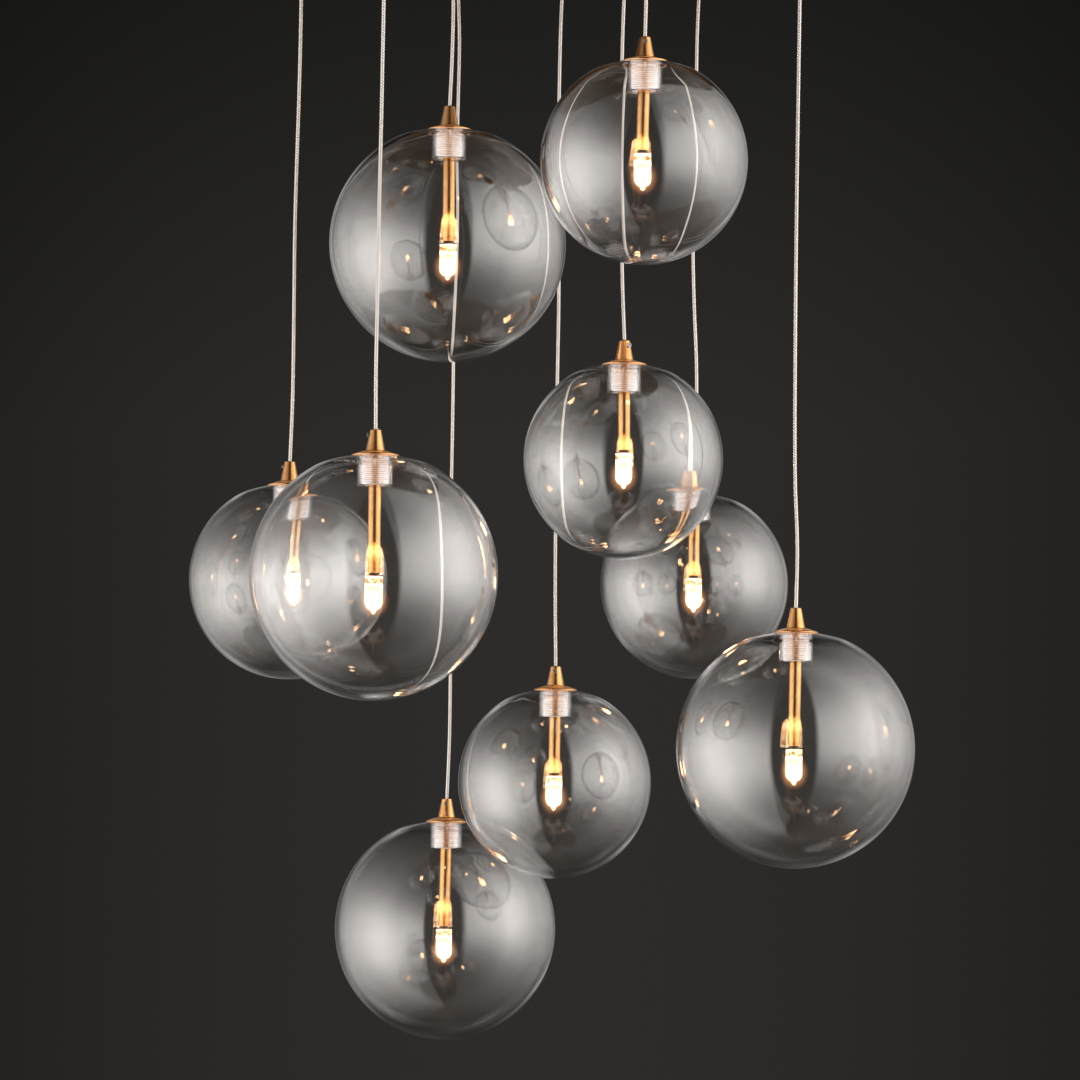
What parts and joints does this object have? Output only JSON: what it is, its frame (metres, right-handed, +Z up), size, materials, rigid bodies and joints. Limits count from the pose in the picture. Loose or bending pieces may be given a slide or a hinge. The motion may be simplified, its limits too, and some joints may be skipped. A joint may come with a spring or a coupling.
{
  "type": "cluster pendant light",
  "caption": "Cluster pendant: clear glass globes with small capsule lamps hang on thin cords at staggered heights below a round brass canopy.",
  "frame": {"origin": "on the ceiling, at the centre of the bracket's top face, which is the canopy's centre", "axes": "+Z up, +X to the right and +Y away from the viewer of the picture"},
  "size_m": [0.4611, 0.4899, 0.772],
  "materials": {
    "canopy_brass": "brushed",
    "satin_brass": "satin",
    "screw_brass": "turned",
    "zinc_steel": "zinc plated",
    "driver_plastic": "fine texture",
    "terminal_plastic": "moulded",
    "cord_jacket": "clear jacket over twisted silvery wire",
    "clear_glass": "clear blown",
    "clear_thread": "clear moulded",
    "lamp_quartz": "clear quartz, lit warm white"
  },
  "bodies": {
    "canopy": {"canopy_cover": "canopy_brass", "ceiling_bracket": "zinc_steel", "led_driver": "driver_plastic", "terminal_block": "terminal_plastic", "side_screw_left": "screw_brass", "side_screw_right": "screw_brass"},
    "line_1": {"cord_1": "cord_jacket"},
    "pendant_1": {"cap_1": "satin_brass", "thread_plug_1": "clear_thread", "globe_1": "clear_glass", "stem_1": "satin_brass", "lamp_1": "lamp_quartz"},
    "line_2": {"cord_2": "cord_jacket"},
    "pendant_2": {"cap_2": "satin_brass", "thread_plug_2": "clear_thread", "globe_2": "clear_glass", "stem_2": "satin_brass", "lamp_2": "lamp_quartz"},
    "line_3": {"cord_3": "cord_jacket"},
    "pendant_3": {"cap_3": "satin_brass", "thread_plug_3": "clear_thread", "globe_3": "clear_glass", "stem_3": "satin_brass", "lamp_3": "lamp_quartz"},
    "line_4": {"cord_4": "cord_jacket"},
    "pendant_4": {"cap_4": "satin_brass", "thread_plug_4": "clear_thread", "globe_4": "clear_glass", "stem_4": "satin_brass", "lamp_4": "lamp_quartz"},
    "line_5": {"cord_5": "cord_jacket"},
    "pendant_5": {"cap_5": "satin_brass", "thread_plug_5": "clear_thread", "globe_5": "clear_glass", "stem_5": "satin_brass", "lamp_5": "lamp_quartz"},
    "line_6": {"cord_6": "cord_jacket"},
    "pendant_6": {"cap_6": "satin_brass", "thread_plug_6": "clear_thread", "globe_6": "clear_glass", "stem_6": "satin_brass", "lamp_6": "lamp_quartz"},
    "line_7": {"cord_7": "cord_jacket"},
    "pendant_7": {"cap_7": "satin_brass", "thread_plug_7": "clear_thread", "globe_7": "clear_glass", "stem_7": "satin_brass", "lamp_7": "lamp_quartz"},
    "line_8": {"cord_8": "cord_jacket"},
    "pendant_8": {"cap_8": "satin_brass", "thread_plug_8": "clear_thread", "globe_8": "clear_glass", "stem_8": "satin_brass", "lamp_8": "lamp_quartz"},
    "line_9": {"cord_9": "cord_jacket"},
    "pendant_9": {"cap_9": "satin_brass", "thread_plug_9": "clear_thread", "globe_9": "clear_glass", "stem_9": "satin_brass", "lamp_9": "lamp_quartz"}
  },
  "joints": [
    {"name": "swing_1", "type": "hinge", "parent": "canopy", "child": "line_1", "pos_m": [0.0605, -0.13596, -0.048], "axis": [0, 1, 0], "range_deg": [-6, 6]},
    {"name": "tilt_1", "type": "hinge", "parent": "line_1", "child": "pendant_1", "pos_m": [0.0605, -0.13596, -0.14284], "axis": [1, 0, 0], "range_deg": [-8, 8]},
    {"name": "swing_2", "type": "hinge", "parent": "canopy", "child": "line_2", "pos_m": [-0.06072, -0.03894, -0.048], "axis": [0, 1, 0], "range_deg": [-6, 6]},
    {"name": "tilt_2", "type": "hinge", "parent": "line_2", "child": "pendant_2", "pos_m": [-0.06072, -0.03894, -0.17026], "axis": [1, 0, 0], "range_deg": [-8, 8]},
    {"name": "swing_3", "type": "hinge", "parent": "canopy", "child": "line_3", "pos_m": [0.05236, -0.02002, -0.048], "axis": [0, 1, 0], "range_deg": [-6, 6]},
    {"name": "tilt_3", "type": "hinge", "parent": "line_3", "child": "pendant_3", "pos_m": [0.05236, -0.02002, -0.31632], "axis": [1, 0, 0], "range_deg": [-8, 8]},
    {"name": "swing_4", "type": "hinge", "parent": "canopy", "child": "line_4", "pos_m": [0.1045, 0.14806, -0.048], "axis": [0, 1, 0], "range_deg": [-6, 6]},
    {"name": "tilt_4", "type": "hinge", "parent": "line_4", "child": "pendant_4", "pos_m": [0.1045, 0.14806, -0.38623], "axis": [1, 0, 0], "range_deg": [-8, 8]},
    {"name": "swing_5", "type": "hinge", "parent": "canopy", "child": "line_5", "pos_m": [-0.16126, 0.00594, -0.048], "axis": [0, 1, 0], "range_deg": [-6, 6]},
    {"name": "tilt_5", "type": "hinge", "parent": "line_5", "child": "pendant_5", "pos_m": [-0.16126, 0.00594, -0.39418], "axis": [1, 0, 0], "range_deg": [-8, 8]},
    {"name": "swing_6", "type": "hinge", "parent": "canopy", "child": "line_6", "pos_m": [-0.09966, -0.15994, -0.048], "axis": [0, 1, 0], "range_deg": [-6, 6]},
    {"name": "tilt_6", "type": "hinge", "parent": "line_6", "child": "pendant_6", "pos_m": [-0.09966, -0.15994, -0.38814], "axis": [1, 0, 0], "range_deg": [-8, 8]},
    {"name": "swing_7", "type": "hinge", "parent": "canopy", "child": "line_7", "pos_m": [0.16126, -0.04796, -0.048], "axis": [0, 1, 0], "range_deg": [-6, 6]},
    {"name": "tilt_7", "type": "hinge", "parent": "line_7", "child": "pendant_7", "pos_m": [0.16126, -0.04796, -0.48698], "axis": [1, 0, 0], "range_deg": [-8, 8]},
    {"name": "swing_8", "type": "hinge", "parent": "canopy", "child": "line_8", "pos_m": [0.01144, 0.08404, -0.048], "axis": [0, 1, 0], "range_deg": [-6, 4]},
    {"name": "tilt_8", "type": "hinge", "parent": "line_8", "child": "pendant_8", "pos_m": [0.01144, 0.08404, -0.52103], "axis": [1, 0, 0], "range_deg": [-8, 8]},
    {"name": "swing_9", "type": "hinge", "parent": "canopy", "child": "line_9", "pos_m": [-0.06138, 0.17996, -0.048], "axis": [0, 1, 0], "range_deg": [-2.5, 6]},
    {"name": "tilt_9", "type": "hinge", "parent": "line_9", "child": "pendant_9", "pos_m": [-0.06138, 0.17996, -0.60895], "axis": [1, 0, 0], "range_deg": [-8, 8]}
  ]
}
